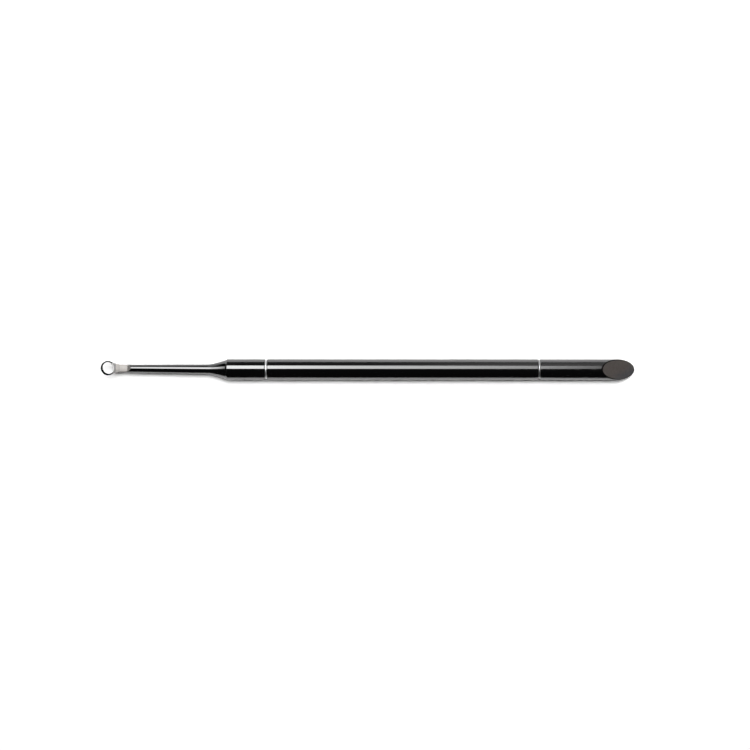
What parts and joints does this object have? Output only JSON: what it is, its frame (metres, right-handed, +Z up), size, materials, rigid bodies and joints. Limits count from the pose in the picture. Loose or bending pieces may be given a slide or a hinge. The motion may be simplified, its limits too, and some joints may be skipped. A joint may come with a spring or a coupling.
{
  "type": "manicure needle tool",
  "caption": "Slim double-ended manicure tool: ring curette screwed into one end of a black barrel, slant-cut pusher cap over a needle at the other.",
  "frame": {"origin": "on the surface the barrel lies on, under the middle of the tool's box", "axes": "+X along the barrel from the ring towards the slant-cut cap, +Z up, away from the surface the barrel lies on"},
  "size_m": [0.1446, 0.0056, 0.0056],
  "materials": {
    "bright_steel": "satin",
    "black_steel": "gloss",
    "black_barrel": "gloss",
    "bright_ring": "gloss",
    "brass": "satin",
    "black_rubber": "matte"
  },
  "bodies": {
    "handle": {"handle_tube": "black_barrel", "front_insert": "brass", "rear_plug": "brass", "rear_trim_ring": "bright_ring", "needle": "bright_steel"},
    "front_washer": {"front_trim_ring": "bright_ring"},
    "head": {"neck": "black_steel", "loop_tip": "bright_steel"},
    "cap_seal": {"cap_o_ring": "black_rubber"},
    "cap": {"cap": "black_barrel"}
  },
  "joints": [
    {"name": "head_travel", "type": "slide", "parent": "handle", "child": "front_washer", "axis": [-1, 0, 0], "range_m": [0, 0.005]},
    {"name": "head_unscrew", "type": "hinge", "parent": "front_washer", "child": "head", "pos_m": [-0.0277, 0, 0.00279], "axis": [-1, 0, 0], "range_deg": [0, 3600]},
    {"name": "cap_turn", "type": "hinge", "parent": "handle", "child": "cap_seal", "pos_m": [0.049, 0, 0.00279], "axis": [1, 0, 0], "continuous": true},
    {"name": "cap_pull", "type": "slide", "parent": "cap_seal", "child": "cap", "axis": [1, 0, 0], "range_m": [0, 0.028]}
  ],
  "couplings": [
    {"joint": "head_unscrew", "follows": "head_travel", "rad_per_m": 12566}
  ]
}
